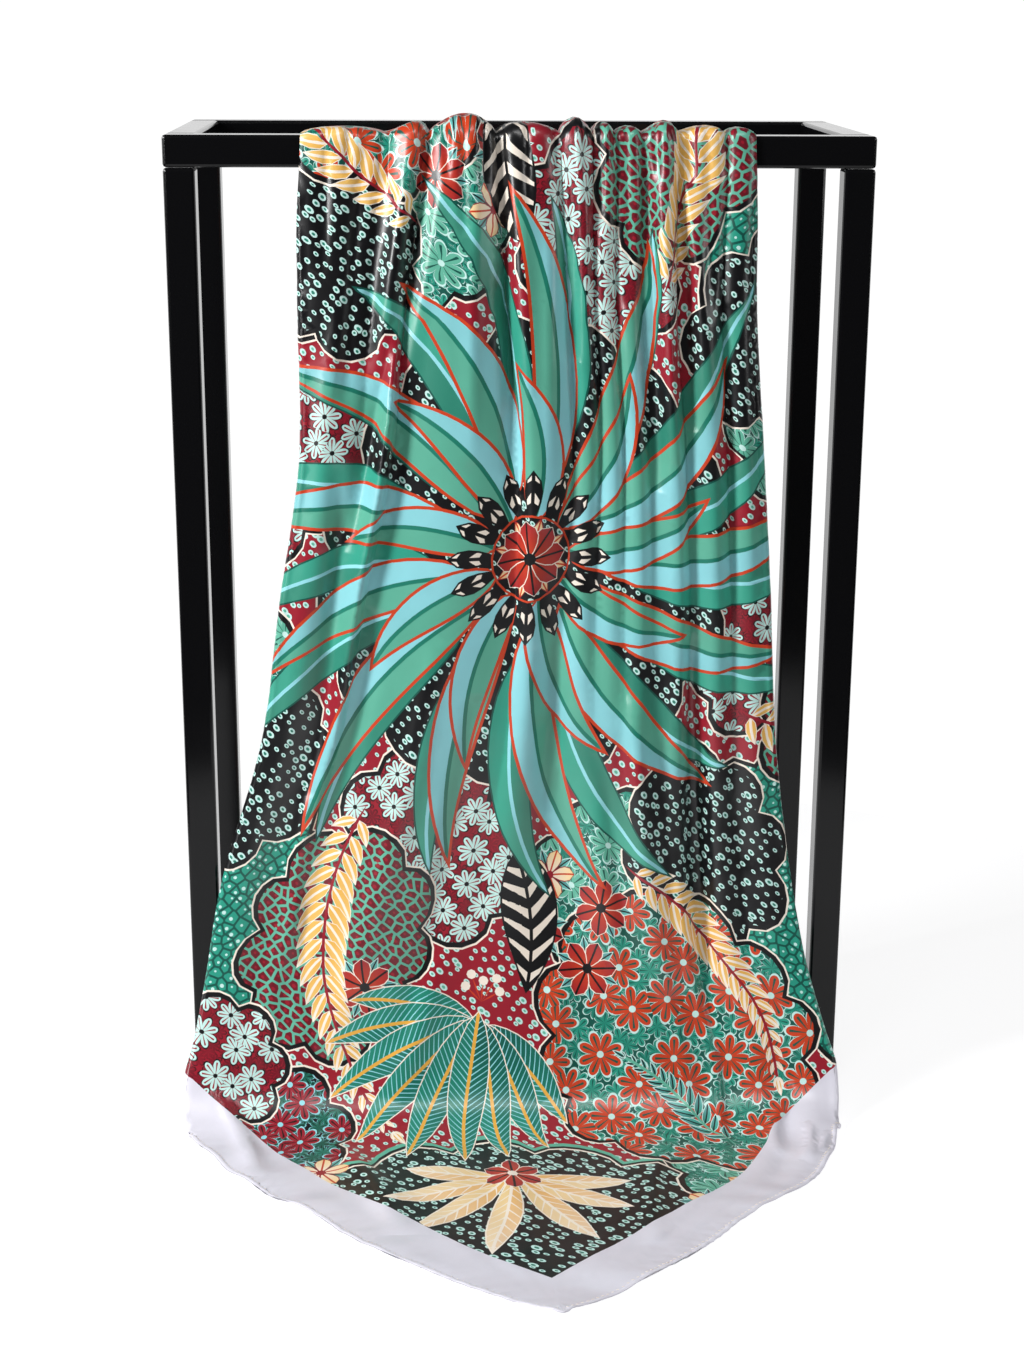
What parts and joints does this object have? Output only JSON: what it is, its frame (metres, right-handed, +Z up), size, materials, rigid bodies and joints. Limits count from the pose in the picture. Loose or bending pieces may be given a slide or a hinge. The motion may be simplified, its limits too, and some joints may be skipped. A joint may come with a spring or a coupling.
{
  "type": "square scarf on a display stand",
  "caption": "Square printed satin scarf hung by its diagonal over the front rail of an open box stand, one corner lying on the floor.",
  "frame": {"origin": "on the floor, below the middle of the whole object's box", "axes": "+Z up, +X to the viewer's right across the stand, -Y towards the viewer, where the scarf's front corner lies"},
  "size_m": [0.4544, 0.5024, 0.6724],
  "materials": {
    "stand": "satin black enamel on square steel tube",
    "scarf": "printed polyester satin with a soft sheen and a plain pale border"
  },
  "bodies": {
    "root": {"front_rail": "stand", "back_rail": "stand", "left_rail": "stand", "right_rail": "stand", "front_left_leg": "stand", "front_right_leg": "stand", "back_left_leg": "stand", "back_right_leg": "stand", "scarf_toe": "scarf", "scarf_front": "scarf", "scarf_over_rail": "scarf", "scarf_back_corner": "scarf", "scarf_left_flap": "scarf", "scarf_right_flap": "scarf"}
  },
  "joints": []
}
